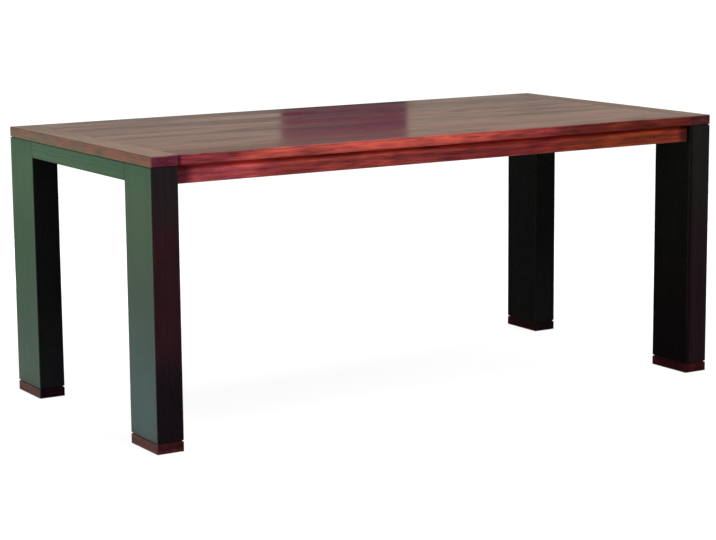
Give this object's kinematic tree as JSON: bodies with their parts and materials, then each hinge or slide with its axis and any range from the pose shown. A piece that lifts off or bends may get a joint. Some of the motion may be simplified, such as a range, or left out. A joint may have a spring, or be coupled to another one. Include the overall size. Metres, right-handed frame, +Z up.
{
  "type": "dining table",
  "caption": "Rectangular parsons dining table: planked red-brown top with breadboard ends on dark flush slab legs, end rails, set-back aprons and red-brown feet.",
  "frame": {"origin": "on the floor, under the middle of the top", "axes": "+X along the table to the right seen from the front, +Y to the back, +Z up"},
  "size_m": [1.8, 0.9, 0.76],
  "materials": {
    "red_brown_wood": "semi-gloss lacquer on red-brown hardwood",
    "dark_wood": "satin near-black stain",
    "plain_wood": "bare planed hardwood",
    "steel": "zinc plated",
    "brass": "plain",
    "nylon": "moulded brown nylon"
  },
  "bodies": {
    "root": {"top_board_1": "red_brown_wood", "top_board_2": "red_brown_wood", "top_board_3": "red_brown_wood", "top_board_4": "red_brown_wood", "top_board_5": "red_brown_wood", "top_board_6": "red_brown_wood", "top_board_7": "red_brown_wood", "top_board_8": "red_brown_wood", "top_board_9": "red_brown_wood", "breadboard_left": "red_brown_wood", "end_rail_left": "dark_wood", "breadboard_right": "red_brown_wood", "end_rail_right": "dark_wood", "apron_front": "red_brown_wood", "apron_back": "red_brown_wood", "leg_front_left": "dark_wood", "foot_front_left": "red_brown_wood", "corner_block_front_left": "plain_wood", "leg_front_right": "dark_wood", "foot_front_right": "red_brown_wood", "corner_block_front_right": "plain_wood", "leg_back_left": "dark_wood", "foot_back_left": "red_brown_wood", "corner_block_back_left": "plain_wood", "leg_back_right": "dark_wood", "foot_back_right": "red_brown_wood", "corner_block_back_right": "plain_wood", "cross_batten_1": "plain_wood", "cross_batten_2": "plain_wood", "cross_batten_3": "plain_wood", "top_buttons_front": "plain_wood", "top_buttons_back": "plain_wood", "top_buttons_left": "plain_wood", "top_buttons_right": "plain_wood", "breadboard_pegs": "plain_wood", "foot_dowels": "plain_wood", "apron_dowels": "plain_wood", "leg_bolts": "steel", "bolt_washers": "steel", "block_screws": "steel", "batten_screws": "steel", "button_screws": "steel", "leg_inserts": "brass", "foot_glides": "nylon"}
  },
  "joints": []
}
